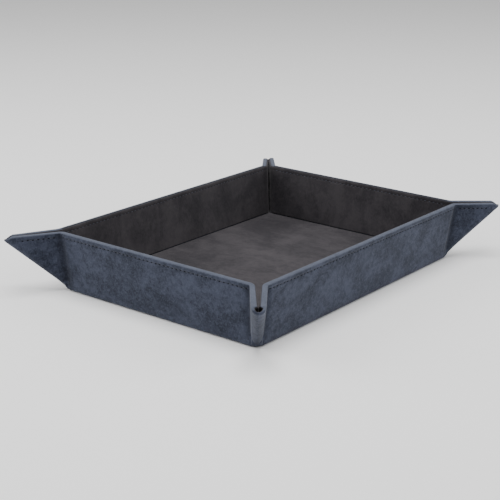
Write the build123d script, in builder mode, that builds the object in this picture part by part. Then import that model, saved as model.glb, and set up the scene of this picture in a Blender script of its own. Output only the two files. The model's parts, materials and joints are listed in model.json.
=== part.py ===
from build123d import *
import os
from math import sqrt

# Folding dice tray: a flat laminated sheet whose four edge panels fold up into walls, and whose corners
# pinch outwards into four double ears. Origin under the middle of the floor, X along the tray, Z up.
# Modelled folded up. Every panel is a sandwich of lining, grey board and outer cover.

# ---- driving dimensions, mm and degrees

floor_length = 212.0  # lining, from crease to crease, along X
floor_width = 154.0  # the same along Y
wall_depth = 36.5  # from the floor crease to the rim, along the wall
long_wall_lean = 7.0  # outwards from upright
short_wall_lean = 5.5

lining_thick = 1.0
board_thick = 2.0
cover_thick = 0.8
panel_thick = lining_thick + board_thick + cover_thick

crease_gap = 0.2  # each skin stops this far short of its crease
board_gap = 1.0  # each board stops this far short of its crease
floor_corner_cut = 2.5

hem_width = 8.0  # cover turned over the rim and down the inside
hem_thick = 0.4  # the turned edge is skived
rim_step = 0.8  # lining stops this far below the rim

stitch_inset = 3.1  # seam below the rim
groove_width = 0.7
groove_depth = 0.3
thread_width = 0.5
thread_thick = 0.25

# An ear half is hinged on the outer face of its wall. Its crease stands off the floor corner by one
# distance at floor level and by another at the rim.
ear_start = 3.5  # ear halves begin this far above the floor crease
loop_base = 2.5  # from the ear's diagonal crease to its half, at the bottom
loop_tip = 4.5  # the same at the tip
board_start = 8.0  # boards of the ear halves begin here

magnet_radius = 4.0
magnet_thick = 1.5
magnet_out = 17.0  # along the rim from the floor corner
magnet_up = 30.7  # from the floor crease
magnet_pocket = 4.2

levels = {  # depth of each layer, from the lining face outwards
    "lining": (0.0, lining_thick),
    "board": (lining_thick, lining_thick + board_thick),
    "cover": (lining_thick + board_thick, panel_thick),
}

os.makedirs("parts", exist_ok=True)


class Fold:
    """A wall's shape: half its crease, how it leans and how its ears are creased."""

    def __init__(self, half, reach, lean, ear_fold, ear_low, ear_high):
        self.half = half  # half the length of the floor crease
        self.reach = reach  # from the middle of the floor to the floor crease
        self.lean = lean
        self.ear_fold = ear_fold  # turn of the ear half out of the wall's plane
        self.ear_low = ear_low  # ear crease beyond the floor corner, at floor level
        self.ear_high = ear_high  # the same at the rim

    def crease(self, up):
        """Distance of the ear crease from the floor corner at a height along the wall."""
        return self.ear_low + (self.ear_high - self.ear_low) * up / wall_depth


long_fold = Fold(floor_length / 2, floor_width / 2, long_wall_lean, 36.4, -1.9, 0.95)
short_fold = Fold(floor_width / 2, floor_length / 2, short_wall_lean, 50.0, -2.35, -0.1)

# name, turn about Z from the front wall, shape, and the names of its ends at -u and +u
walls = [
    ("front", 0, long_fold, "left", "right"),
    ("right", 90, short_fold, "front", "back"),
    ("back", 180, long_fold, "right", "left"),
    ("left", 270, short_fold, "back", "front"),
]


# ---- places: local X runs along the floor crease, local Y up the panel, local Z outwards


def wall_plane(turn, fold):
    """Lining face of a wall, from the middle of its floor crease."""
    along = Vector(1, 0, 0).rotate(Axis.Z, turn)
    hinge = Vector(0, -fold.reach, panel_thick).rotate(Axis.Z, turn)
    outwards = Vector(0, -1, 0).rotate(Axis.X, fold.lean).rotate(Axis.Z, turn)
    return Plane(hinge, x_dir=along, z_dir=outwards)


def ear_crease(place, fold, side):
    """Two points of an ear crease, floor level first, on the wall's outer face."""
    low = Vector(side * (fold.half + fold.ear_low), 0, panel_thick)
    high = Vector(side * (fold.half + fold.ear_high), wall_depth, panel_thick)
    return place.from_local_coords(low), place.from_local_coords(high)


def ear_plane(place, fold, side):
    """The wall's plane turned outwards about an ear crease: the plane of that ear half."""
    low, high = ear_crease(place, fold, side)
    axis = Axis((0, 0, 0), high - low)
    turn = -side * fold.ear_fold
    origin = low + (place.origin - low).rotate(axis, turn)
    along = place.x_dir.rotate(axis, turn)
    outwards = place.z_dir.rotate(axis, turn)
    return Plane(origin, x_dir=along, z_dir=outwards)


# ---- outlines, in the flat panel: along the floor crease, then up the panel


def wall_outline(fold, gap, top=wall_depth, bottom=None):
    """Wall between its two ear creases, gap short of every crease."""
    low = gap if bottom is None else bottom
    corners = [(fold.half + fold.crease(low) - gap, low), (fold.half + fold.crease(top) - gap, top)]
    return corners + [(-x, y) for x, y in reversed(corners)]


def ear_outline(fold, side, gap, loop_extra, bottom, top=wall_depth):
    """Ear half: crease side, rim, and an edge beside the diagonal crease."""

    def beside_diagonal(up):
        share = (up - ear_start) / (wall_depth - ear_start)
        loop = loop_base + (loop_tip - loop_base) * share + loop_extra
        return up - loop * sqrt(2)

    corners = [
        (fold.crease(bottom) + gap, bottom),
        (beside_diagonal(bottom), bottom),
        (beside_diagonal(top), top),
        (fold.crease(top) + gap, top),
    ]
    return [(side * (fold.half + x), y) for x, y in corners]


# ---- sections through the layers: up the panel, then outwards from the lining face


def groove(middle, face, inwards):
    """Four corners of a seam's groove in a face, going up the panel."""
    floor = face + inwards * groove_depth
    low, high = middle - groove_width / 2, middle + groove_width / 2
    return [(low, face), (low, floor), (high, floor), (high, face)]


def cover_section():
    """Cover skin, turned over the top of the board and down inside as a hem."""
    inner, outer = levels["cover"]
    board_top = wall_depth - rim_step
    hem_end = wall_depth - hem_width
    outline = [(0, inner), (board_top, inner), (board_top, lining_thick), (hem_end, lining_thick)]
    outline += [(hem_end, lining_thick - hem_thick), (wall_depth, lining_thick - hem_thick)]
    outline += [(wall_depth, outer)]
    outline += list(reversed(groove(wall_depth - stitch_inset, outer, -1)))
    return outline + [(0, outer)]


def lining_section():
    """Lining, thinner over the hem and just short of the rim."""
    top = wall_depth - rim_step
    hem_end = wall_depth - hem_width
    outline = [(0, 0)] + groove(wall_depth - stitch_inset, 0, 1) + [(top, 0)]
    outline += [(top, lining_thick - hem_thick), (hem_end, lining_thick - hem_thick)]
    return outline + [(hem_end, lining_thick), (0, lining_thick)]


def thread_sections():
    """The two rows of the rim seam, each lying in the bottom of its groove."""
    middle = wall_depth - stitch_inset
    low, high = middle - thread_width / 2, middle + thread_width / 2
    rows = []
    for face, inwards in ((0, 1), (panel_thick, -1)):
        deep = face + inwards * groove_depth
        shallow = deep - inwards * thread_thick
        rows.append([(low, deep), (high, deep), (high, shallow), (low, shallow)])
    return rows


# ---- pieces


def finish(piece, label):
    """Name a piece and write it out."""
    piece.label = label
    export_step(piece, f"parts/{label}.step")


def section_plane(place):
    """Plane square to the floor crease: local X up the panel, local Y outwards."""
    return Plane(place.origin, x_dir=place.y_dir, z_dir=place.x_dir)


def sectioned(place, sections, outline, reach, label):
    """Layer with a section that runs along the panel, cut to the panel's outline."""
    with BuildPart() as layer:
        with BuildSketch(section_plane(place)):
            for section in sections:
                Polygon(*section)
        extrude(amount=reach, both=True)
        with BuildSketch(place):
            Polygon(*outline)
        extrude(amount=panel_thick, mode=Mode.INTERSECT)
    finish(layer.part, label)


def board(place, outline, label, pocket=None):
    """Stiffener inside a panel, with a round pocket for a magnet where there is one."""
    with BuildPart() as stiffener:
        with BuildSketch(place.offset(lining_thick)):
            Polygon(*outline)
            if pocket:
                with Locations(pocket):
                    Circle(magnet_pocket, mode=Mode.SUBTRACT)
        extrude(amount=board_thick)
    finish(stiffener.part, label)


def magnet(place, centre, label):
    """Disc that holds two ear halves together, against the back of the lining."""
    with BuildPart() as disc:
        with BuildSketch(place.offset(lining_thick)):
            with Locations(centre):
                Circle(magnet_radius)
        extrude(amount=magnet_thick)
        chamfer(disc.edges().filter_by(GeomType.CIRCLE), 0.2)
    finish(disc.part, label)


def skins_and_thread(place, outline, seam_outline, reach, name):
    """The soft layers of a wall or of an ear half."""
    sectioned(place, [cover_section()], outline, reach, f"{name}_cover")
    sectioned(place, [lining_section()], outline, reach, f"{name}_lining")
    sectioned(place, thread_sections(), seam_outline, reach, f"{name}_thread")


def build_wall(name, place, fold):
    board_top = wall_depth - rim_step
    seam = wall_outline(fold, crease_gap + groove_width)
    skins_and_thread(place, wall_outline(fold, crease_gap), seam, fold.half + wall_depth, name)
    board(place, wall_outline(fold, board_gap, board_top), f"{name}_board")


def build_ear(name, place, fold, side):
    outline = ear_outline(fold, side, crease_gap, 0, ear_start)
    seam = ear_outline(fold, side, crease_gap + groove_width, groove_width, board_start)
    skins_and_thread(place, outline, seam, fold.half + wall_depth, name)
    middle = (side * (fold.half + magnet_out), magnet_up)
    core = ear_outline(fold, side, board_gap, groove_width, board_start, wall_depth - rim_step)
    board(place, core, f"{name}_board", middle)
    magnet(place, middle, f"{name}_magnet")


def build_floor(layer, inset):
    """One layer of the floor. The lining is uppermost, so depths count down from it."""
    shallow, deep = levels[layer]
    with BuildPart() as sheet:
        with BuildSketch(Plane.XY.offset(panel_thick - deep)) as plan:
            Rectangle(floor_length - 2 * inset, floor_width - 2 * inset)
            chamfer(plan.vertices(), floor_corner_cut)
        extrude(amount=deep - shallow)
    finish(sheet.part, f"floor_{layer}")


build_floor("cover", crease_gap)
build_floor("board", board_gap)
build_floor("lining", crease_gap)
for wall, turn, fold, low_end, high_end in walls:
    upright = wall_plane(turn, fold)
    build_wall(f"{wall}_wall", upright, fold)
    for side, end in ((-1, low_end), (1, high_end)):
        build_ear(f"{wall}_{end}_ear", ear_plane(upright, fold, side), fold, side)
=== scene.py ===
import json
import math

import bpy
import numpy as np
from mathutils import Matrix

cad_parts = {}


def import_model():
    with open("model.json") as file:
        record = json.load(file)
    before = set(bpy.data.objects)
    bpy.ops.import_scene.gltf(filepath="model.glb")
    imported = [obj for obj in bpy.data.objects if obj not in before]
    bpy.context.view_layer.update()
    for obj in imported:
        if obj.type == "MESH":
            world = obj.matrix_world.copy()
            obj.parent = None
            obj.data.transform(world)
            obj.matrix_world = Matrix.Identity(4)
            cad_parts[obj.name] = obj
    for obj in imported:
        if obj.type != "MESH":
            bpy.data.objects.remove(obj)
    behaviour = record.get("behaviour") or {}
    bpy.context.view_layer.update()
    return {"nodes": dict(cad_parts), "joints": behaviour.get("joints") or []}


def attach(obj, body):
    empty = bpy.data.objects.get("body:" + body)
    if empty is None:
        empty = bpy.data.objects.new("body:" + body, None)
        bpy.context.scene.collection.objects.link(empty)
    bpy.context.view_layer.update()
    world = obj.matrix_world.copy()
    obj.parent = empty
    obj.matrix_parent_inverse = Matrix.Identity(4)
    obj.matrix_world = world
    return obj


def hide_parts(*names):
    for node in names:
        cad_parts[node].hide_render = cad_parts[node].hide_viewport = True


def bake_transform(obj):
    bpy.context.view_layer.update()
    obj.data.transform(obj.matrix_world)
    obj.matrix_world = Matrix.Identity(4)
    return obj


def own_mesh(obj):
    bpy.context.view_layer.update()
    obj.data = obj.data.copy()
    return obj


# Folding dice tray: suede-finish cover, brushed lining, rim seam and looped corner ears, built on the
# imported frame. Lengths are metres. A point of the laminated sheet is (along, up, depth): along the floor
# crease, up the panel from that crease, and outwards from the lining face.

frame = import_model()

MM = 0.001
TINY = 1e-6
joints = {joint["name"]: joint for joint in frame["joints"]}


def unit(vector):
    vector = np.asarray(vector, float)
    return vector / np.linalg.norm(vector)


def turned(points, pivot, axis, angle):
    """Points turned about an axis through pivot, by the right-hand rule."""
    axis = unit(axis)
    offset = np.asarray(points, float) - pivot
    across = np.cross(np.broadcast_to(axis, offset.shape), offset)
    along = (offset @ axis)[..., None] * axis
    return pivot + offset * math.cos(angle) + across * math.sin(angle) + along * (1 - math.cos(angle))


def smooth(value, low, high):
    share = np.clip((np.asarray(value, float) - low) / (high - low), 0, 1)
    return share * share * (3 - 2 * share)


# ---- sizes

half_length = joints["right_wall_fold"]["pos_m"][0]
half_width = -joints["front_wall_fold"]["pos_m"][1]
panel = joints["front_wall_fold"]["pos_m"][2]  # thickness of a panel
wall_depth = 36.5 * MM  # floor crease to rim
cover_skin = 0.8 * MM
lining_skin = 1.0 * MM
hem_width = 8.0 * MM
hem_skin = 0.4 * MM
rim_step = 0.8 * MM  # from the rim down to the cover's turn behind the hem
lining_edge = 0.4 * MM  # from the rim down to the lining
rim_radius = 0.75 * MM
shaded_rims = ("right", "back")  # walls whose rims get a dark inner edge of painted shade
shaded_drop, shaded_depth, rim_shade = 1.5 * MM, 2.9 * MM, 1.7
seam_inset = 3.1 * MM
stitch_pitch = 3.3 * MM
stitch_radius = 0.24 * MM
stitch_margin = 2.0 * MM  # from an ear's crease to the first hole
hole_length = 0.62 * MM
sheet_step = 120 * stitch_pitch  # between the walls' stretches of sheet, in whole stitches
floor_lining_shift = (3.0, 0.0)  # the floor's own stretches of sheet, clear of the walls' rims
floor_cover_shift = (4.0, -0.2)
board_face = 3.08 * MM  # the cover stays outside its boards,
board_low = 7.0 * MM  # which reach down to here
panel_start = 0.8 * MM  # walls begin this far above the floor crease
ear_start = 3.5 * MM
lining_start = 0.15 * MM
loop_low, loop_high = 2.5 * MM, 4.5 * MM  # ear half to diagonal crease, bottom and tip
loop_slope_start = 3.5 * MM  # height where loop_low holds
loop_shade = 0.45  # how much painted shade darkens the loop below its lip
loop_rim_drop = 0.85 * MM  # the rim's wear colour with its painted highlight ends this much sooner on the loop
ear_plump = 0.36 * MM  # swell of the ears' lining, which closes the slot
bend_radius = 2.2 * MM  # cover under a floor crease
bend_inset = 0.8 * MM
ridge_stand = 2.75 * MM  # the loop's ridge, outside the sheet's diagonal
nose_low, nose_high = 2.35 * MM, 4.1 * MM  # half width of the loop, bottom and tip
ridge_flare = 0.4 * MM  # more of that at the floor corner
slot_gap = 0.04 * MM  # half the slot between the loop's two sides
slot_overlap = 0.02 * MM  # the ears' linings press together by this much
loop_skin = 1.85 * MM  # cover and lining together round the loop
tip_cut = 0.12 * MM  # rounding of the sheet's corner
gusset_inset = 1.2 * MM  # the gussets reach this far under the floor
gusset_bulge = 0.25 * MM

WALLS = {  # each wall's neighbours, at its low and its high end
    "front": ("left", "right"),
    "right": ("front", "back"),
    "back": ("right", "left"),
    "left": ("back", "front"),
}


class Wall:
    """A wall's own axes at rest: along the crease, up the panel, and outwards."""

    def __init__(self, name):
        joint = joints[f"{name}_wall_fold"]
        self.name = name
        self.body = f"{name}_wall"
        self.origin = np.array(joint["pos_m"])
        self.along = unit(joint["axis"])
        self.level_out = np.cross(self.along, (0, 0, 1))
        self.lean = math.radians(90 - joint["range_deg"][1])
        self.up = math.sin(self.lean) * self.level_out + np.array((0, 0, math.cos(self.lean)))
        self.out = np.cross(self.along, self.up)
        self.half = half_length if name in ("front", "back") else half_width

    def place(self, along, up, depth):
        along, up, depth = (np.asarray(x, float)[..., None] for x in (along, up, depth))
        return self.origin + along * self.along + up * self.up + depth * self.out


class Ear:
    """One half of a corner ear: a flap of a wall, turned outwards about its crease."""

    def __init__(self, wall, end, side):
        self.wall, self.side = wall, side
        self.name = self.body = f"{wall.name}_{end}_ear"
        joint = joints[f"{self.name}_fold"]
        self.low = np.array(joint["pos_m"])
        self.axis = unit(joint["axis"])
        self.fold = math.radians(joint["range_deg"][1])
        crease_up = self.axis * side
        self.corner = wall.origin + side * wall.half * wall.along
        self.crease_low = side * float((self.low - wall.origin) @ wall.along) - wall.half
        self.crease_slope = side * float(crease_up @ wall.along) / float(crease_up @ wall.up)
        base = self.place(0, 0, 0)
        self.facing = unit(self.place(0, 0, 1) - base)
        self.leaving = unit(self.place(1, -1, 0) - base)  # square to the diagonal crease

    def crease(self, up):
        """How far the ear's crease is beyond the floor corner."""
        return self.crease_low + self.crease_slope * np.asarray(up, float)

    def place(self, beyond, up, depth):
        """The ear half's own panel, at rest. beyond is measured from the floor corner."""
        flat = self.wall.place(self.side * (self.wall.half + np.asarray(beyond, float)), up, depth)
        return turned(flat, self.low, self.axis, -self.fold)


def strip_reach(up):
    """Half width of the supple strip along an ear's crease."""
    return (0.45 + 0.5 * smooth(up, ear_start, 12 * MM)) * MM


def loop_reach(up):
    """Distance from the diagonal crease to the stiff part of an ear half."""
    share = (np.asarray(up, float) - loop_slope_start) / (wall_depth - loop_slope_start)
    return np.maximum(loop_low + (loop_high - loop_low) * share, loop_low * 0.9)


def loop_beyond(up, share=0.0):
    """How far beyond the floor corner the loop lies, from the stiff part (0) to the diagonal crease (1)."""
    return up - loop_reach(up) * (1 - share) * math.sqrt(2)


# ---- relief of the cover and of the lining

rng = np.random.default_rng(7)
waves = [(rng.uniform(60, 260, 2) * rng.choice((-1, 1), 2), rng.uniform(0, 6.28)) for _ in range(14)]


def waviness(along, up, salt):
    total = np.zeros(np.broadcast(along, up).shape)
    for (wave_x, wave_y), phase in waves:
        total = total + np.sin(along * wave_x + up * wave_y + phase + salt)
    return total / len(waves)


def stitch_holes(along, drop):
    """1 at each needle hole and 0 elsewhere. drop is the distance below the rim."""
    nearest = (np.mod(along / stitch_pitch, 1) - 0.5) * stitch_pitch
    across = (drop - seam_inset) / (0.42 * MM)
    return np.exp(-((nearest / hole_length) ** 4) - across**2)


def seam_relief(along, drop, strength=1.0):
    channel = 0.16 * MM * np.exp(-(((drop - seam_inset) / (0.75 * MM)) ** 2))
    roll = 0.10 * MM * np.exp(-(((drop - 1.7 * MM) / (0.9 * MM)) ** 2))
    return strength * (roll - channel - 0.42 * MM * stitch_holes(along, drop) * (strength > 0.99))


def relief(kind, along, up, drop, calm):
    """Height over the nominal face. calm is 0 beside a crease and 1 in the open."""
    bump, salt, seam = (0.09 * MM, 0.0, 1.0) if kind == "cover" else (0.06 * MM, 2.1, 0.55)
    return bump * waviness(along, up, salt) * calm + seam * seam_relief(along, drop)


# ---- sections: lists of (kind, drop or share, depth). A row is placed either as a share of the
# height below the hem, or as a drop below the rim.


def arc(middle_drop, middle_depth, radius, start, stop, count):
    """Rows round a part of a circle, for angles in degrees from straight outwards."""
    rows = []
    for angle in np.radians(np.linspace(start, stop, count)):
        drop = middle_drop - radius * math.sin(angle)
        rows.append(("drop", drop, middle_depth + radius * math.cos(angle)))
    return rows


LOW_SHARES = (0, 0.02, 0.05, 0.1, 0.18, 0.28, 0.38, 0.48, 0.58, 0.68, 0.78, 0.88, 0.96, 1)
SEAM_ROWS = (7.0, 6.0, 5.0, 4.3, 3.9, 3.65, 3.45, 3.25, 3.1, 2.95, 2.75, 2.55, 2.3, 1.9, 1.4)
SEAM_DROPS = [drop * MM for drop in SEAM_ROWS]


def cover_section():
    """Closed loop: up the outside, over the rim, down the hem, and back behind the skin."""
    rows = [("share", share, panel) for share in LOW_SHARES]
    rows += [("drop", drop, panel) for drop in SEAM_DROPS]
    rows += arc(rim_radius, panel - rim_radius, rim_radius, 0, 90, 6)
    inner = 0.55 * MM
    rows += [("drop", -0.05 * MM, panel / 2 + 0.2 * MM)]
    rows += arc(rim_radius, inner + rim_radius, rim_radius, 90, 180, 6)
    hem = lining_skin - hem_skin
    rows += [("drop", drop, hem) for drop in (1.3 * MM, seam_inset, hem_width)]
    rows += [("drop", hem_width, lining_skin), ("drop", rim_step + 0.4 * MM, lining_skin)]
    rows += [("drop", rim_step + 0.4 * MM, panel - cover_skin), ("share", 0, panel - cover_skin)]
    return rows


def lining_section():
    """Closed loop: up the face, over the edge below the rim, and back behind the hem."""
    rows = [("share", share, 0.0) for share in LOW_SHARES]
    rows += [("drop", drop, 0.0) for drop in SEAM_DROPS]
    rows += [("drop", 0.75 * MM, 0.03 * MM), ("drop", 0.5 * MM, 0.14 * MM)]
    rows += [("drop", lining_edge, 0.36 * MM)]
    rows += [("drop", lining_edge, lining_skin - hem_skin), ("drop", hem_width, lining_skin - hem_skin)]
    rows += [("drop", hem_width, lining_skin), ("share", 0, lining_skin)]
    return rows


def section_rows(section, bottom, top):
    """Heights and depths of a section on a line that runs from bottom to top of the sheet."""
    span = top - hem_width - bottom
    ups = [bottom + value * span if kind == "share" else top - value for kind, value, _ in section]
    return np.array(ups), np.array([depth for _, _, depth in section])


# ---- meshes


def add_object(name, data):
    thing = bpy.data.objects.new(name, data)
    bpy.context.scene.collection.objects.link(thing)
    return thing


def mesh_piece(name, points, faces, flat, slot):
    """A closed, smooth mesh that knows its place on the flat sheet."""
    mesh = bpy.data.meshes.new(name)
    mesh.from_pydata([tuple(p) for p in points], [], faces)
    mesh.update()
    flat = np.asarray(flat, np.float32)
    layer = mesh.attributes.new("sheet", "FLOAT_VECTOR", "POINT")
    layer.data.foreach_set("vector", flat[:, :3].ravel())
    # the crease attribute carries painted shade: by the ears' creases, on the shaded rims and low on the
    # loops
    for column, mark in ((3, "seam"), (4, "crease")):
        values = flat[:, column].copy() if flat.shape[1] > column else np.zeros(len(flat), np.float32)
        mesh.attributes.new(mark, "FLOAT", "POINT").data.foreach_set("value", values)
    mesh.polygons.foreach_set("use_smooth", [True] * len(mesh.polygons))
    face_outwards(mesh)
    mesh.materials.append(slot_materials[slot])
    piece = add_object(name, mesh)
    return piece


def face_outwards(mesh):
    """Turn a closed mesh right side out."""
    mesh.calc_loop_triangles()
    count = len(mesh.loop_triangles)
    corners = np.zeros(count * 3, np.int32)
    mesh.loop_triangles.foreach_get("vertices", corners)
    points = np.zeros(len(mesh.vertices) * 3)
    mesh.vertices.foreach_get("co", points)
    points = points.reshape(-1, 3)
    points = points - points.mean(0)
    a, b, c = (points[corners.reshape(-1, 3)[:, k]] for k in range(3))
    if np.einsum("ij,ij->i", a, np.cross(b, c)).sum() < 0:
        mesh.flip_normals()


def tube_faces(rings, base=0):
    """Faces through closed rings of equal length, capped at both ends."""
    size = len(rings[0])
    last = base + (len(rings) - 1) * size
    faces = []
    for row in range(base, last, size):
        for j in range(size):
            k = (j + 1) % size
            faces.append((row + j, row + k, row + size + k, row + size + j))
    faces.append(tuple(base + j for j in reversed(range(size))))
    faces.append(tuple(last + j for j in range(size)))
    return faces


def loft(name, rings, flats, slot):
    """Closed solid through closed rings."""
    points, flat = np.concatenate(rings), np.concatenate(flats)
    piece = mesh_piece(name, points, tube_faces(rings), flat, slot)
    sharpen(piece)
    return piece


def sharpen(piece):
    """Keep creases between faces that meet at a sharp angle."""
    piece.data.set_sharp_from_angle(angle=math.radians(50))


def slab(name, outer, inner, slot, flats):
    """Closed solid between two grids of points that match."""
    rows, columns = outer.shape[:2]
    count = rows * columns

    def at(layer, i, j):
        return layer * count + i * columns + j

    faces = []
    for i in range(rows - 1):
        for j in range(columns - 1):
            faces.append((at(0, i, j), at(0, i, j + 1), at(0, i + 1, j + 1), at(0, i + 1, j)))
            faces.append((at(1, i, j), at(1, i + 1, j), at(1, i + 1, j + 1), at(1, i, j + 1)))
    for i in range(rows - 1):
        faces.append((at(0, i, 0), at(0, i + 1, 0), at(1, i + 1, 0), at(1, i, 0)))
        j = columns - 1
        faces.append((at(0, i, j), at(1, i, j), at(1, i + 1, j), at(0, i + 1, j)))
    for j in range(columns - 1):
        faces.append((at(0, 0, j), at(1, 0, j), at(1, 0, j + 1), at(0, 0, j + 1)))
        i = rows - 1
        faces.append((at(0, i, j), at(0, i, j + 1), at(1, i, j + 1), at(1, i, j)))
    points = np.concatenate([outer.reshape(-1, 3), inner.reshape(-1, 3)])
    flat = np.concatenate([flats.reshape(-1, flats.shape[-1])] * 2)
    piece = mesh_piece(name, points, faces, flat, slot)
    sharpen(piece)
    return piece


# ---- materials


class Nodes:
    """A few short ways to wire a material."""

    def __init__(self, name):
        self.material = bpy.data.materials.new(name)
        self.material.use_nodes = True
        self.tree = self.material.node_tree
        self.tree.nodes.clear()
        output = self.new("OutputMaterial")
        self.shader = self.new("BsdfPrincipled")
        self.link(self.shader.outputs[0], output, 0)

    def new(self, kind, **settings):
        node = self.tree.nodes.new("ShaderNode" + kind)
        for key, value in settings.items():
            setattr(node, key, value)
        return node

    def link(self, source, node, socket):
        if isinstance(source, (int, float, tuple, list)):
            node.inputs[socket].default_value = source
        else:
            self.tree.links.new(source, node.inputs[socket])

    def attribute(self, name):
        """Fac and Vector of a value that the points carry."""
        return self.new("Attribute", attribute_name=name).outputs

    def sheet_axes(self):
        """Place on the flat sheet, in metres, as along, up and depth."""
        node = self.new("SeparateXYZ")
        self.link(self.attribute("sheet")["Vector"], node, 0)
        return node.outputs

    def noise(self, scale, detail=3.0, roughness=0.55, distortion=0.0, solid=False):
        """Noise on the flat sheet, or in the object for CAD nodes, which carry no place on the sheet."""
        if solid:
            place = self.new("TexCoord").outputs["Object"]
        else:
            place = self.attribute("sheet")["Vector"]
        scaled = self.new("VectorMath", operation="MULTIPLY")
        self.link(place, scaled, 0)
        self.link(scale, scaled, 1)
        texture = self.new("TexNoise")
        self.link(scaled.outputs[0], texture, "Vector")
        self.link(1.0, texture, "Scale")
        self.link(detail, texture, "Detail")
        self.link(roughness, texture, "Roughness")
        self.link(distortion, texture, "Distortion")
        return texture.outputs["Fac"]

    def math(self, operation, *values):
        node = self.new("Math", operation=operation)
        for socket, value in enumerate(values):
            self.link(value, node, socket)
        return node.outputs[0]

    def span(self, value, low, high, new_low=0.0, new_high=1.0):
        """Smooth step of a value from one range to another."""
        node = self.new("MapRange", interpolation_type="SMOOTHSTEP")
        self.link(value, node, "Value")
        self.link(low, node, "From Min")
        self.link(high, node, "From Max")
        self.link(new_low, node, "To Min")
        self.link(new_high, node, "To Max")
        return node.outputs[0]

    def mix(self, share, a, b):
        node = self.new("Mix", data_type="RGBA")
        self.link(share, node, 0)
        self.link(a, node, 6)
        self.link(b, node, 7)
        return node.outputs[2]

    def bump(self, height, strength, distance, before=None):
        node = self.new("Bump")
        self.link(strength, node, "Strength")
        self.link(distance, node, "Distance")
        self.link(height, node, "Height")
        if before is not None:
            self.link(before, node, "Normal")
        return node.outputs[0]

    def finish(self, colour, roughness, normal, sheen=(), **fixed):
        self.link(colour, self.shader, "Base Color")
        self.link(roughness, self.shader, "Roughness")
        self.link(normal, self.shader, "Normal")
        for socket, value in zip(("Sheen Weight", "Sheen Roughness", "Sheen Tint"), sheen):
            self.link(value, self.shader, socket)
        for socket, value in fixed.items():
            self.link(value, self.shader, socket.replace("_", " "))
        return self.material


def rgb(red, green, blue):
    """Linear colour from an sRGB one, 0 to 255."""
    return tuple(((c / 255 + 0.055) / 1.055) ** 2.4 for c in (red, green, blue)) + (1.0,)


def needle_hole_shade(n):
    """1 in the needle holes of the rim seam, from the place on the sheet, where painted shade darkens them.
    """
    place = n.sheet_axes()
    along = n.math("SUBTRACT", n.math("FRACT", n.math("DIVIDE", place[0], stitch_pitch)), 0.5)
    along = n.math("DIVIDE", n.math("MULTIPLY", along, stitch_pitch), hole_length)
    up = n.math("DIVIDE", n.math("SUBTRACT", place[1], wall_depth - seam_inset), 0.46 * MM)
    radius = n.math("ADD", n.math("MULTIPLY", along, along), n.math("MULTIPLY", up, up))
    return n.math("MULTIPLY", n.span(radius, 1.5, 0.5), n.attribute("seam")["Fac"])


def cover_material():
    """Navy imitation suede: cloudy mottling, short nap brushed up the wall, a rim lighter with wear and a
    painted highlight, and painted shade by creases, on shaded rims, on the loops and in needle holes.
    """
    n = Nodes("navy_suede")
    cloud = n.noise((44, 50, 44), 4, 0.6, 0.6)
    mottle = n.noise((330, 300, 330), 4, 0.65, 0.5)
    fleck = n.noise((1000, 850, 1000), 3, 0.6, 0.3)
    nap = n.noise((1500, 620, 900), 3, 0.6)
    grain = n.noise((3600, 3200, 3000), 2, 0.5)
    tone = n.math("MULTIPLY_ADD", mottle, 0.48, n.math("MULTIPLY", cloud, 0.52))
    colour = n.mix(n.span(tone, 0.38, 0.64), rgb(30, 34, 46), rgb(58, 63, 79))
    colour = n.mix(n.span(fleck, 0.48, 0.72, 0, 0.55), colour, rgb(72, 78, 94))
    colour = n.mix(n.span(nap, 0.4, 0.75, 0, 0.22), colour, rgb(72, 78, 94))
    colour = n.mix(n.span(grain, 0.52, 0.8, 0, 0.4), colour, rgb(24, 27, 38))
    # Painted highlight: the rim band is lighter where top light and sheen catch it, partly also wear of the
    # suede.
    rim = n.span(n.sheet_axes()[1], wall_depth - 0.8 * MM, wall_depth - 0.1 * MM)
    rim_wear_and_highlight = n.math("MULTIPLY", rim, n.span(mottle, 0.25, 0.8, 0.6, 0.95))
    colour = n.mix(rim_wear_and_highlight, colour, rgb(76, 81, 94))
    # Painted shade through the crease attribute: darker by the ears' creases, on the shaded rims and low on
    # the loops.
    crease = n.attribute("crease")["Fac"]
    colour = n.mix(n.math("MULTIPLY", crease, 0.5), colour, rgb(20, 22, 31))
    # Painted shade in the needle holes.
    colour = n.mix(needle_hole_shade(n), colour, rgb(12, 13, 19))
    height = n.math("MULTIPLY_ADD", nap, 0.6, n.math("MULTIPLY", grain, 0.5))
    normal = n.bump(height, 0.55, 0.00022)
    normal = n.bump(n.math("ADD", mottle, n.math("MULTIPLY", fleck, 0.5)), 0.3, 0.0004, normal)
    rough = n.span(tone, 0.3, 0.8, 0.94, 0.8)
    return n.finish(colour, rough, normal, (0.15, 0.45, (0.7, 0.73, 0.8, 1)), Specular_IOR_Level=0.22)


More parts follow.
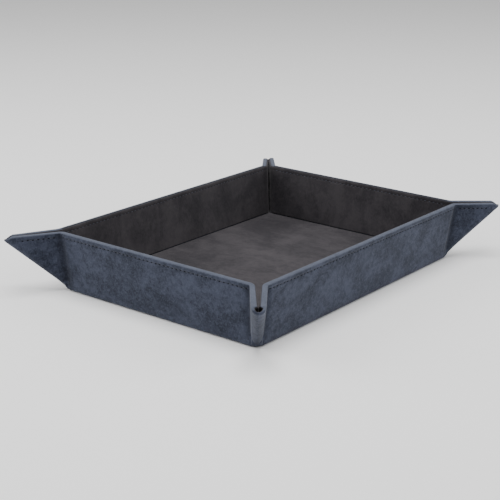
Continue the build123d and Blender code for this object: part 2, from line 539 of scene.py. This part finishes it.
def lining_material():
    """Charcoal brushed suede: directional nap with soft lighter sweeps."""
    n = Nodes("charcoal_suede")
    cloud = n.noise((20, 26, 26), 4, 0.6, 0.9)
    sweep = n.noise((60, 26, 60), 4, 0.6, 0.8)
    mottle = n.noise((300, 260, 300), 3, 0.6, 0.4)
    nap = n.noise((1500, 500, 900), 3, 0.6)
    grain = n.noise((3400, 3400, 3400), 2, 0.5)
    tone = n.math("MULTIPLY_ADD", sweep, 0.4, n.math("MULTIPLY", cloud, 0.4))
    tone = n.math("MULTIPLY_ADD", mottle, 0.2, tone)
    colour = n.mix(n.span(tone, 0.38, 0.64), rgb(37, 35, 39), rgb(60, 57, 60))
    colour = n.mix(n.span(nap, 0.4, 0.75, 0, 0.25), colour, rgb(74, 69, 73))
    colour = n.mix(n.span(grain, 0.52, 0.8, 0, 0.35), colour, rgb(28, 28, 31))
    # Faint painted shade in the needle holes on the lining side.
    colour = n.mix(n.math("MULTIPLY", needle_hole_shade(n), 0.25), colour, rgb(14, 14, 15))
    height = n.math("MULTIPLY_ADD", nap, 0.6, n.math("MULTIPLY", grain, 0.5))
    normal = n.bump(height, 0.5, 0.0002)
    rough = n.span(tone, 0.3, 0.8, 0.96, 0.86)
    return n.finish(colour, rough, normal, (0.1, 0.5, (0.75, 0.74, 0.76, 1)), Specular_IOR_Level=0.2)


def thread_material():
    n = Nodes("rim_thread")
    ply = n.noise((5200, 5200, 5200), 2, 0.5)
    colour = n.mix(n.span(ply, 0.35, 0.7), rgb(40, 43, 54), rgb(72, 76, 88))
    rough = n.span(ply, 0.3, 0.7, 0.6, 0.8)
    return n.finish(colour, rough, n.bump(ply, 0.6, 0.0001), Specular_IOR_Level=0.35)


def board_material():
    """Grey board, which only its sealed core shows."""
    n = Nodes("grey_board")
    fibre = n.noise((900, 900, 900), 4, 0.6, solid=True)
    colour = n.mix(n.span(fibre, 0.35, 0.7), rgb(134, 130, 124), rgb(158, 154, 147))
    return n.finish(colour, n.span(fibre, 0.3, 0.7, 0.85, 0.95), n.bump(fibre, 0.3, 0.0002))


def magnet_material():
    n = Nodes("magnet_plating")
    brush = n.noise((2500, 2500, 2500), 2, 0.5, solid=True)
    colour = n.mix(n.span(brush, 0.35, 0.7), rgb(178, 178, 182), rgb(205, 205, 208))
    return n.finish(colour, n.span(brush, 0.3, 0.7, 0.25, 0.4), n.bump(brush, 0.1, 0.0001), Metallic=1.0)


slot_materials = {
    "cover_suede": cover_material(),
    "lining_suede": lining_material(),
    "rim_thread": thread_material(),
}
core_materials = {"board": board_material(), "magnet": magnet_material()}


# ---- walls

COVER, LINING = cover_section(), lining_section()
walls = {name: Wall(name) for name in WALLS}
ears = {}
for wall_name, ends in WALLS.items():
    for ear_side, ear_end in zip((-1, 1), ends):
        ears[wall_name, ear_side] = Ear(walls[wall_name], ear_end, ear_side)


def sheet_origin(wall):
    return sheet_step * list(WALLS).index(wall.name)


def in_cover(depth):
    return depth >= panel - cover_skin - TINY


def sheet_place(wall, along, up, depth, seam=0.0, crease=0.0):
    """Where a point lies on the flat sheet, if it is sewn, and how much painted shade it carries (the
    crease column), for its material.
    """
    along, up, depth, seam, crease = np.broadcast_arrays(along, up, depth, seam, crease)
    return np.stack([along + sheet_origin(wall), up, depth, seam, crease], -1)


def crease_painted_shade(distance, up):
    """Painted shade along an ear's crease: 1 at the crease and 0 a few millimetres away, and 0 at the rim.
    """
    width = 2.2 * MM + 0.03 * (wall_depth - up)
    return np.exp(-((distance / width) ** 2)) * (1 - smooth(up, 33 * MM, 36 * MM))


def rim_shading(wall, ups, depths):
    """Painted shade on the inner edge of a shaded wall's rim."""
    inner = (ups > wall_depth - shaded_drop) & (depths < shaded_depth)
    return rim_shade * inner * (wall.name in shaded_rims)


def crease_dip(distance):
    """The cover sinks beside a crease, where the board ends."""
    return 0.6 * MM * (1 - smooth(distance, 0.6 * MM, 5 * MM))


def wall_dip(distance, up):
    return crease_dip(distance) * smooth(up, panel_start, 5 * MM)


def ear_dip(distance, up):
    """Ear halves also thin out downwards, most of all below their boards."""
    taper = 0.62 * MM * (1 - smooth(up, 10 * MM, 33 * MM))
    taper = taper + 0.6 * MM * (1 - smooth(up, 3 * MM, 7.2 * MM))
    return np.maximum(crease_dip(distance), taper)


def swelling(drop, ups):
    """Where the ears' lining swells: not at the rim and not at the bottom."""
    return smooth(drop, 0.6 * MM, 3 * MM) * smooth(ups, 2 * MM, 10 * MM)


def relieved(kind, along, ups, depths, top, distance, dip, plump):
    """Depths of one line of a section with its relief: dips, waves, seam and holes."""
    drop = top - ups
    calm = smooth(np.minimum(distance, np.minimum(ups - panel_start, drop)), 1.5 * MM, 8 * MM)
    if kind == "cover":
        face = depths >= panel - TINY
        behind = np.isclose(depths, panel - cover_skin)
        lowest = np.where(ups > board_low, board_face, 0)
        outer = np.maximum(panel + relief(kind, along, ups, drop, calm) - dip, lowest)
        return np.where(face, outer, depths - np.where(behind, dip, 0))
    face = depths <= TINY
    raised = relief(kind, along, ups, drop, calm) + plump * swelling(drop, ups)
    return depths - np.where(face, raised, 0)


def build_wall(wall, kind, section, slot):
    left, right = ears[wall.name, -1], ears[wall.name, 1]
    bottom = panel_start if kind == "cover" else lining_start
    rings, flats = [], []
    for mark in np.linspace(0, 1, int(2 * wall.half / (0.56 * MM))):
        ups, depths = section_rows(section, bottom, wall_depth)
        low_end = -(wall.half + left.crease(ups) - strip_reach(ups))
        high_end = wall.half + right.crease(ups) - strip_reach(ups)
        along = low_end + (high_end - low_end) * mark
        distance = np.minimum(along - low_end, high_end - along) + strip_reach(ups)
        dip = wall_dip(distance, ups)
        depths = relieved(kind, along, ups, depths, wall_depth, distance, dip, 0)
        rings.append(wall.place(along, ups, depths))
        # dark is painted shade: by the ears' creases and on the shaded rims' inner edges.
        dark = np.maximum(crease_painted_shade(distance, ups), rim_shading(wall, ups, depths))
        flats.append(sheet_place(wall, along, ups, depths, distance > 2.2 * MM, dark))
    piece = loft(f"{wall.name}_wall_{kind}_skin", rings, flats, slot)
    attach(piece, wall.body)
    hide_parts(f"{wall.name}_wall_{kind}")


# ---- ears: each half has a supple bend at its crease, a stiff part, and half of the corner's loop


def bend_point(ear, share, ups, depths):
    """A point of the bend, from the wall (0) to the ear (1): sharp valley outside, round inside."""
    half, reach, crease = ear.wall.half, strip_reach(ups), ear.crease(ups)
    wall_edge = ear.wall.place(ear.side * (half + crease - reach), ups, depths)
    ear_edge = ear.place(crease + reach, ups, depths)
    wall_turn = ear.wall.place(ear.side * (half + crease), ups, depths)
    ear_turn = ear.place(crease, ups, depths)
    turn = (wall_turn + ear_turn) / 2
    axis_point = ear.wall.place(ear.side * (half + crease), ups, panel + 0 * ups)
    away = turn - axis_point
    gap = np.linalg.norm(ear_turn - wall_turn, axis=-1)[..., None]
    length = np.maximum(np.linalg.norm(away, axis=-1)[..., None], 1e-9)
    turn = turn + away / length * gap * 0.12
    return wall_edge * (1 - share) ** 2 + turn * 2 * share * (1 - share) + ear_edge * share**2


def bend_dip(share, ups):
    edge = strip_reach(ups)
    mixed = smooth(share, 0, 1)
    return wall_dip(edge, ups) * (1 - mixed) + ear_dip(edge, ups) * mixed


def build_bend(ear, kind, section, slot):
    wall = ear.wall
    rings, flats = [], []
    for share in np.linspace(0, 1, 13):
        ups, depths = section_rows(section, ear_start, wall_depth)
        along = ear.side * (wall.half + ear.crease(ups) + (2 * share - 1) * strip_reach(ups))
        depths = relieved(kind, along, ups, depths, wall_depth, 0 * ups, bend_dip(share, ups), 0)
        rings.append(bend_point(ear, share, ups, depths))
        # Painted shade along the ear's crease.
        near = crease_painted_shade(abs(2 * share - 1) * strip_reach(ups), ups)
        flats.append(sheet_place(wall, along, ups, depths, 0.0, near))
    piece = loft(f"{ear.name}_{kind}_bend", rings, flats, slot)
    start, end = np.mean(rings[0], axis=0), np.mean(rings[-1], axis=0)
    tuple(start)
    tuple(end)
    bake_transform(piece)


def ear_reach(ear, mark, ups):
    """How far beyond the floor corner a line of the stiff part lies."""
    near = ear.crease(ups) + strip_reach(ups)
    return near + (loop_beyond(ups) - near) * mark


def build_ear(corner, ear, kind, section, slot):
    wall = ear.wall
    rings, flats = [], []
    for mark in np.linspace(0, 1, 58):
        ups, depths = section_rows(section, ear_start, wall_depth)
        beyond = ear_reach(ear, mark, ups)
        distance = beyond - ear.crease(ups)
        along = ear.side * (wall.half + beyond)
        plump = ear_plump * smooth(distance, 3 * MM, 10 * MM)
        dip = ear_dip(distance, ups)
        depths = relieved(kind, along, ups, depths, wall_depth, distance, dip, plump)
        ring = ear.place(beyond, ups, depths)
        rings.append(corner.kept_apart(ear, ring, -slot_overlap))
        seam = float(0.01 < mark < 0.97)
        sewn = seam * (distance > 1.5 * MM)
        # The last column is painted shade along the ear's crease.
        flats.append(sheet_place(wall, along, ups, depths, sewn, crease_painted_shade(distance, ups)))
    piece = loft(f"{ear.name}_{kind}_skin", rings, flats, slot)
    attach(piece, ear.body)
    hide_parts(f"{ear.name}_{kind}")


class Corner:
    """Where two walls meet: the ear's mid-plane and the diagonal crease in it."""

    def __init__(self, first, second):
        self.halves = (first, second)  # ear halves of the two walls
        self.origin = first.corner
        out_first, out_second = first.wall.level_out, second.wall.level_out
        a, b = first.wall.lean, second.wall.lean
        # The diagonal of a sheet whose walls have unit depth: it ends square to both walls' rims and is
        # root two long, which gives the height and the two reaches of its end.
        square = (math.cos(a) / math.sin(a)) ** 2 + (math.cos(b) / math.sin(b)) ** 2 + 1
        linear = math.cos(a) / math.sin(a) ** 2 + math.cos(b) / math.sin(b) ** 2
        constant = 1 / math.sin(a) ** 2 + 1 / math.sin(b) ** 2 - 2
        height = (linear - math.sqrt(linear**2 - square * constant)) / square
        reach_first = (1 - height * math.cos(a)) / math.sin(a)
        reach_second = (1 - height * math.cos(b)) / math.sin(b)
        level = reach_first * out_first + reach_second * out_second
        self.level = unit(level)
        self.diagonal = unit(level + np.array((0, 0, height)))
        self.across = unit(np.cross(self.diagonal, first.wall.up + second.wall.up))
        if self.across @ (first.wall.up - second.wall.up) < 0:
            self.across = -self.across
        self.away = unit(np.cross(self.across, self.diagonal))
        if self.away[2] > 0:
            self.away = -self.away

    def local(self, points):
        offset = points - self.origin
        return offset @ self.diagonal, offset @ self.away, offset @ self.across

    def place(self, along, away, across):
        along, away, across = (np.asarray(x, float)[..., None] for x in (along, away, across))
        return self.origin + along * self.diagonal + away * self.away + across * self.across

    def sign(self, ear):
        return 1 if ear is self.halves[0] else -1

    def kept_apart(self, ear, points, least):
        """Points moved where needed to keep a least distance from the mid-plane."""
        sign = self.sign(ear)
        own_side = (points - self.origin) @ self.across * sign
        return points + self.across * (sign * np.maximum(least - own_side, 0))[..., None]


def cubic(start, first, second, end, share):
    """A point of the curve from start to end with two handles."""
    point = start * (1 - share) ** 3 + first * 3 * share * (1 - share) ** 2
    return point + second * 3 * share**2 * (1 - share) + end * share**3


def unit_rows(vectors):
    return vectors / np.maximum(np.linalg.norm(vectors, axis=-1)[..., None], 1e-9)


def nose(along):
    """Half width of the fold at its ridge: tight below, a round loop at the tip."""
    return nose_low + (nose_high - nose_low) * smooth(along, 18 * MM, 48 * MM)


def ridge(along):
    """How far the fold's ridge stands outside the sheet's diagonal."""
    return ridge_stand + ridge_flare * (1 - smooth(along, 0, 8 * MM))


def loop_point(corner, ear, share, ups, depths):
    """A point of the loop, from the stiff part (0) to the ridge (1)."""
    sign = corner.sign(ear)
    beyond = loop_beyond(ups, share)
    diagonal_along = (ups + beyond) / math.sqrt(2)
    start_up = ups
    if share > 0:
        for _ in range(5):
            start_up = (ups + beyond + math.sqrt(2) * loop_reach(start_up)) / 2
    start_beyond = loop_beyond(start_up)
    distance = start_beyond - ear.crease(start_up)
    start = ear.place(start_beyond, start_up, panel - ear_dip(distance, start_up))
    top = corner.place(diagonal_along, ridge(diagonal_along), 0 * ups)
    # The curve leaves the stiff part in its own plane and meets the ridge square to the mid-plane.
    rise = (ridge(diagonal_along) - corner.local(start)[1])[..., None]
    first = start + ear.leaving * rise * 0.55
    second = top + corner.across * (sign * 0.58 * nose(diagonal_along))[..., None]
    point = cubic(start, first, second, top, share)
    run = (first - start) * (1 - share) ** 2 + (second - first) * 2 * share * (1 - share)
    run = run + (top - second) * share**2
    normal = np.cross(run, corner.diagonal)
    outwards = np.sign(normal @ corner.across * sign + 1e-9)
    normal = unit_rows(normal * outwards[..., None])
    if share == 1:
        normal = np.broadcast_to(corner.away, normal.shape)
    steady = float(smooth(share, 0, 0.2))
    normal = unit_rows(ear.facing * (1 - steady) + normal * steady)
    skin = loop_skin + (panel - loop_skin) * (1 - smooth(share, 0.0, 0.22))
    inwards = np.where(in_cover(depths), panel - depths, (panel - depths) * skin / panel)
    point = point - normal * np.asarray(inwards)[..., None]
    return corner.kept_apart(ear, point, slot_gap if share < 1 else 0.0)


def loop_bottom(share):
    return ear_start * (1 - share) + 1.0 * MM * share


LOOP_SHARES = np.concatenate([[0, 0.05, 0.11], np.linspace(0.18, 1, 15)])


def build_loop(corner, ear, kind, section, slot):
    """Half of the loop that joins two ear halves. It rides with its own half."""
    wall = ear.wall
    rings, flats = [], []
    for share in LOOP_SHARES:
        top = wall_depth - tip_cut * float(smooth(share, 0.5, 1))
        ups, depths = section_rows(section, loop_bottom(share), top)
        along = ear.side * (wall.half + loop_beyond(ups, share))
        if kind == "cover":
            roll = seam_relief(along, top - ups, 1 - share)
            lift = np.where(depths >= panel - TINY, roll, 0)
        else:
            swell = ear_plump * (1 - smooth(share, 0, 0.22)) * swelling(top - ups, ups)
            lift = np.where(depths <= TINY, -swell, 0)
        rings.append(loop_point(corner, ear, float(share), ups, depths + lift))
        # Painted shade: the loop darkens below its lip, towards its ridge.
        loop_painted_shade = loop_shade * smooth(top - ups, 3 * MM, 8 * MM) * float(smooth(share, 0, 0.5))
        up_sheet = ups - loop_rim_drop * smooth(share, 0.1, 0.7)
        flats.append(sheet_place(wall, along, up_sheet, depths, 0.0, loop_painted_shade))
    piece = loft(f"{ear.name}_{kind}_loop", rings, flats, slot)
    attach(piece, ear.body)
    edge = ear.place(0.5 * wall_depth - 5 * MM, 0.5 * wall_depth, panel)
    tuple(edge)
    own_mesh(piece)


# ---- floor and the folds under the walls


def floor_grid(inset, columns, rows):
    xs = np.linspace(-(half_length - inset), half_length - inset, columns)
    ys = np.linspace(-(half_width - inset), half_width - inset, rows)
    return np.meshgrid(xs, ys, indexing="ij")


def floor_lining():
    grid_x, grid_y = floor_grid(0, 150, 110)
    edge = np.minimum(half_length - abs(grid_x), half_width - abs(grid_y))
    bumps = 0.08 * MM * waviness(grid_x, grid_y, 4.0) * smooth(edge, 2 * MM, 12 * MM)
    height = panel - floor_sink(edge) + bumps
    top = np.stack([grid_x, grid_y, height], -1)
    under = np.stack([grid_x, grid_y, np.full_like(grid_x, panel - lining_skin)], -1)
    shift_x, shift_y = floor_lining_shift
    flat = np.stack([grid_x + shift_x, grid_y + shift_y, height], -1)
    piece = slab("floor_lining_skin", top, under, "lining_suede", flat)
    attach(piece, "floor")
    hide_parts("floor_lining")


def floor_sink(edge):
    """The floor's lining is drawn down into the groove along each wall."""
    return 0.55 * MM * (1 - smooth(edge, 0, 1.8 * MM))


def floor_cover():
    grid_x, grid_y = floor_grid(bend_inset, 120, 88)
    low = np.stack([grid_x, grid_y, 0 * grid_x], -1)
    high = np.stack([grid_x, grid_y, 0 * grid_x + cover_skin], -1)
    shift_x, shift_y = floor_cover_shift
    flat = np.stack([grid_x + shift_x, grid_y + shift_y, 0 * grid_x], -1)
    piece = slab("floor_cover_skin", low, high, "cover_suede", flat)
    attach(piece, "floor")
    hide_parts("floor_cover")


def fold_paths(lean):
    """Outer and inner side of the cover under a floor crease, as (outwards, height) from the crease."""
    half_turn = (math.pi / 2 - lean) / 2
    towards = np.array((math.sin(half_turn), -math.cos(half_turn)))
    centre = (panel - bend_radius) / math.cos(half_turn) * towards
    wall_up = np.array((math.sin(lean), math.cos(lean)))
    wall_out = np.array((math.cos(lean), -math.sin(lean)))
    outer = [np.array((-bend_inset, -panel))]
    inner = [np.array((-bend_inset, cover_skin - panel))]
    for turn in np.linspace(0, 2 * half_turn, 9):
        spoke = np.array((math.sin(turn), -math.cos(turn)))
        outer.append(centre + bend_radius * spoke)
        inner.append(centre + (bend_radius - cover_skin) * spoke)
    outer.append(panel * wall_out + panel_start * wall_up)
    inner.append((panel - cover_skin) * wall_out + panel_start * wall_up)
    return np.array(outer), np.array(inner)


def fold_point(wall, along, path):
    """Points of a fold path at places along the wall's crease."""
    along, out, height = np.broadcast_arrays(along, path[..., 0], path[..., 1])
    points = wall.origin + along[..., None] * wall.along + out[..., None] * wall.level_out
    points[..., 2] = panel + height
    return points


def fold_end(ear):
    return ear.side * (ear.wall.half + float(ear.crease(panel_start)) - float(strip_reach(panel_start)))


def path_lengths(path):
    steps = np.linalg.norm(np.diff(path, axis=0), axis=-1)
    return np.concatenate([[0], np.cumsum(steps)])


def build_fold(wall):
    """Cover round the fold from the floor's underside to a wall."""
    outer, inner = fold_paths(wall.lean)
    low, high = fold_end(ears[wall.name, -1]), fold_end(ears[wall.name, 1])
    along = np.linspace(low, high, int((high - low) / (1.1 * MM)))[None, :]
    layers = [fold_point(wall, along, path[:, None, :]) for path in (outer, inner)]
    lengths = path_lengths(outer)[:, None]
    flat = sheet_place(wall, along + 0 * lengths, lengths - lengths[-1] + panel_start, 0.0)
    piece = slab(f"{wall.name}_floor_fold", layers[0], layers[1], "cover_suede", flat)
    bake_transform(piece)


# ---- corner gussets: patches that close each half corner below its ear


def resampled(path, count):
    lengths = path_lengths(path)
    marks = np.linspace(0, lengths[-1], count)
    return np.stack([np.interp(marks, lengths, path[:, k]) for k in range(3)], -1)


def gusset_top(corner, ear, depth):
    """Edge of the parts above: the bend, the stiff part and the loop, from the wall to the mid-plane."""

    def sunk(dip):
        return np.array([depth - dip if in_cover(depth) else depth])

    rows = []
    low = np.array([ear_start])
    for share in np.linspace(0, 1, 5):
        dip = float(bend_dip(share, ear_start))
        rows.append(bend_point(ear, share, low, sunk(dip))[0])
    for mark in (0.5, 1.0):
        distance = ear_reach(ear, mark, ear_start) - ear.crease(ear_start)
        dip = float(ear_dip(distance, ear_start))
        rows.append(ear.place(ear_reach(ear, mark, low), low, sunk(dip))[0])
    for share in LOOP_SHARES[1:]:
        bottom = np.array([loop_bottom(share)])
        rows.append(loop_point(corner, ear, float(share), bottom, sunk(0.0))[0])
    return np.array(rows)


def gusset_wall(ear, depth):
    """Edge along the fold's end and the wall's end."""
    wall = ear.wall
    along = fold_end(ear)
    if in_cover(depth):
        outer, inner = fold_paths(wall.lean)
        fold = fold_point(wall, along, outer if depth >= panel - TINY else inner)
    else:
        sink = float(floor_sink(gusset_inset))
        path = np.array([(-gusset_inset, -sink - depth), (-0.1 * MM + depth, -0.5 * MM - depth)])
        fold = fold_point(wall, along, path)
    ups = np.linspace(1.2 * MM, ear_start, 4)
    reach = strip_reach(ups)
    dip = wall_dip(reach, ups) if in_cover(depth) else 0
    climb = wall.place(ear.side * (wall.half + ear.crease(ups) - reach), ups, depth - dip + 0 * ups)
    return np.concatenate([fold, climb])


def gusset_middle(corner, depth, top):
    """Edge in the mid-plane, from the floor out and up to the loop's ridge."""
    cover = in_cover(depth)
    inward = panel - depth if cover else 0
    floor_level = -panel + inward if cover else -depth - float(floor_sink(gusset_inset))
    start = corner.origin - corner.level * gusset_inset + np.array((0, 0, floor_level))
    if not cover:
        start = start - corner.level * 0.6 * MM
        middle = corner.origin + np.array((0, 0, -0.6 * MM - depth))
        return np.array([start, middle, top])
    rise = corner.diagonal * 0.985 + corner.away * -0.17
    first, second = start + corner.level * 2.0 * MM, top - rise * 2.6 * MM
    return cubic(start, first, second, top, np.linspace(0, 1, 15)[:, None])


def gusset_grid(corner, ear, depth, rows, columns):
    """Patch through its four edges."""
    upper = resampled(gusset_top(corner, ear, depth), columns)
    left = resampled(gusset_wall(ear, depth), rows)
    right = resampled(gusset_middle(corner, depth, upper[-1]), rows)
    left[-1] = upper[0]
    across, rise = np.linspace(0, 1, columns)[None, :, None], np.linspace(0, 1, rows)[:, None, None]
    low_row = left[0] * (1 - across) + right[0] * across
    ruled_up = low_row * (1 - rise) + upper[None] * rise
    ruled_across = left[:, None] * (1 - across) + right[:, None] * across
    high_row = upper[0] * (1 - across) + upper[-1] * across
    bulge = gusset_bulge * 16 * across * (1 - across) * rise * (1 - rise)
    outwards = unit(corner.level + ear.wall.level_out) if depth > panel / 2 else 0
    return ruled_up + ruled_across - low_row * (1 - rise) - high_row * rise + bulge * outwards


def build_gusset(corner, ear, kind, slot):
    rows, columns = 15, 21
    outer_depth, inner_depth = (panel, panel - cover_skin) if kind == "cover" else (0.0, lining_skin)
    outer = gusset_grid(corner, ear, outer_depth, rows, columns)
    inner = gusset_grid(corner, ear, inner_depth, rows, columns)
    for grid in (outer, inner):
        grid[:, -1] -= corner.across * ((grid[:, -1] - corner.origin) @ corner.across)[:, None]
    flat = np.zeros((rows, columns, 3))
    flat[..., 0] = sheet_origin(ear.wall) + fold_end(ear)
    flat[..., 0] += ear.side * np.linspace(0, 1, columns)[None, :] * 4 * MM
    flat[..., 1] = np.linspace(-3, 4, rows)[:, None] * MM
    piece = slab(f"{ear.name}_{kind}_gusset", outer, inner, slot, flat)
    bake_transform(piece)


# ---- stitches


def capsule(start, end, lift, radius, sides=6):
    """Rings of a stitch: a short thread between two holes, arched by lift at its middle."""
    start, end = np.array(start), np.array(end)
    run = unit(end - start)
    rise = unit(lift)
    flank = np.cross(run, rise)
    angles = np.linspace(0, 2 * math.pi, sides, endpoint=False)
    rings = []
    for share, swell in ((0, 0.35), (0.1, 0.85), (0.3, 1), (0.5, 1.05), (0.7, 1), (0.9, 0.85), (1, 0.35)):
        arch = 1 - (2 * share - 1) ** 2
        centre = start + (end - start) * share + np.asarray(lift) * arch
        ring = [centre + radius * swell * (math.cos(a) * flank + math.sin(a) * rise) for a in angles]
        rings.append(np.array(ring))
    return rings


def build_stitches(name, body, place, spots, node):
    """Stitches between neighbouring holes, on both faces. place(along, up, depth) sets a point."""
    points, faces, flats = [], [], []
    up = wall_depth - seam_inset
    for first, second in zip(spots[:-1], spots[1:]):
        for face, outwards in ((panel - 0.12 * MM, 1), (0.12 * MM, -1)):
            inset = 0.75 * MM if outwards > 0 else 0.6 * MM
            low, high = min(first, second) + inset, max(first, second) - inset
            sunk = face - outwards * 0.25 * MM
            start, end = place(low, up, sunk), place(high, up, sunk)
            middle = place((low + high) / 2, up, face)
            lift = middle - (start + end) / 2
            rings = capsule(start, end, lift, stitch_radius)
            faces += tube_faces(rings, len(points))
            for i, ring in enumerate(rings):
                points.extend(ring)
                flats.extend((low + (high - low) * i / 6, up, face) for _ in ring)
    piece = mesh_piece(name, points, faces, flats, "rim_thread")
    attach(piece, body)
    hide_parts(node)


def hole_spots(low, high):
    """Needle holes lie on whole numbers of stitches along the sheet."""
    first, last = math.ceil(low / stitch_pitch - 0.5), math.floor(high / stitch_pitch - 0.5)
    return [(k + 0.5) * stitch_pitch for k in range(first, last + 1)]


def wall_stitches(wall):
    creases = [float(ears[wall.name, side].crease(wall_depth)) for side in (-1, 1)]
    reach = wall.half + min(creases) - stitch_margin
    spots = hole_spots(-reach, reach)
    build_stitches(f"{wall.name}_stitches", wall.body, wall.place, spots, f"{wall.name}_wall_thread")


def ear_stitches(ear):
    up = wall_depth - seam_inset
    near = ear.wall.half + float(ear.crease(up)) + stitch_margin
    far = ear.wall.half + float(loop_beyond(up)) - 0.6 * MM
    spots = hole_spots(near, far) if ear.side > 0 else hole_spots(-far, -near)

    def place(along, height, depth):
        return ear.place(abs(along) - ear.wall.half, height, depth)

    build_stitches(f"{ear.name}_stitches", ear.body, place, spots, f"{ear.name}_thread")


# ---- assemble

SKINS = (("cover", COVER, "cover_suede"), ("lining", LINING, "lining_suede"))
CORNERS = (("front", "right"), ("right", "back"), ("back", "left"), ("left", "front"))
for wall in walls.values():
    for skin in SKINS:
        build_wall(wall, *skin)
    build_fold(wall)
    wall_stitches(wall)
for ear in ears.values():
    for skin in SKINS:
        build_bend(ear, *skin)
    ear_stitches(ear)
for first, second in CORNERS:
    corner = Corner(ears[first, 1], ears[second, -1])
    for ear in corner.halves:
        for kind, section, slot in SKINS:
            build_ear(corner, ear, kind, section, slot)
            build_loop(corner, ear, kind, section, slot)
            build_gusset(corner, ear, kind, slot)
floor_lining()
floor_cover()

for name, node in frame["nodes"].items():
    finish = core_materials.get(name.rsplit("_", 1)[1])
    if finish:
        node.data.materials.clear()
        node.data.materials.append(finish)


# ---- stage, light and camera


def stage_floor():
    mesh = bpy.data.meshes.new("table")
    size = 6.0
    corners = [(-size, -size, 0), (size, -size, 0), (size, size, 0), (-size, size, 0)]
    mesh.from_pydata(corners, [], [(0, 1, 2, 3)])
    table = add_object("table", mesh)
    material = bpy.data.materials.new("table")
    material.use_nodes = True
    shader = material.node_tree.nodes["Principled BSDF"]
    shader.inputs["Base Color"].default_value = (0.9, 0.9, 0.9, 1)
    shader.inputs["Roughness"].default_value = 0.9
    mesh.materials.append(material)
    table.location.z = -0.0002


def area_light(name, place, target, size, power):
    data = bpy.data.lights.new(name, "AREA")
    data.shape = "DISK"
    data.size = size
    data.energy = power
    lamp = add_object(name, data)
    back = unit(np.array(place) - np.array(target))
    right = unit(np.cross((0.01, 0.02, 1), back))
    up = np.cross(back, right)
    lamp.matrix_world = matrix(right, up, back, place)


def matrix(right, up, back, place):
    rows = [[right[i], up[i], back[i], place[i]] for i in range(3)]
    return Matrix(rows + [[0, 0, 0, 1]])


def camera():
    azimuth, elevation, roll = (math.radians(x) for x in (-52.42, 17.88, 0.6))
    distance, target = 0.838, np.array((0, 0, 0.02))
    ahead = np.array((math.sin(azimuth), -math.cos(azimuth), 0)) * math.cos(elevation)
    back = ahead + np.array((0, 0, math.sin(elevation)))
    level = np.array((math.cos(azimuth), math.sin(azimuth), 0))
    upright = np.cross(back, level)
    right = math.cos(roll) * level + math.sin(roll) * upright
    up = math.cos(roll) * upright - math.sin(roll) * level
    data = bpy.data.cameras.new("camera")
    data.sensor_width = 36.0
    data.lens = 89.6
    data.shift_x = -0.0285
    data.shift_y = -0.0123
    data.clip_start = 0.01
    view = add_object("camera", data)
    view.matrix_world = matrix(right, up, back, target + back * distance)
    bpy.context.scene.camera = view


def world():
    studio = bpy.data.worlds.new("studio")
    studio.use_nodes = True
    background = studio.node_tree.nodes["Background"]
    background.inputs["Color"].default_value = (1, 1, 1, 1)
    background.inputs["Strength"].default_value = 0.5
    bpy.context.scene.world = studio


stage_floor()
world()
area_light("left_box", (-0.75, 0.95, 0.55), (0, 0, 0.02), 0.9, 10.5)
area_light("right_box", (0.8, -1.05, 0.55), (0, 0, 0.02), 0.9, 8.2)
area_light("top_box", (-0.1, -0.05, 1.3), (0, 0, 0), 1.0, 19)
camera()
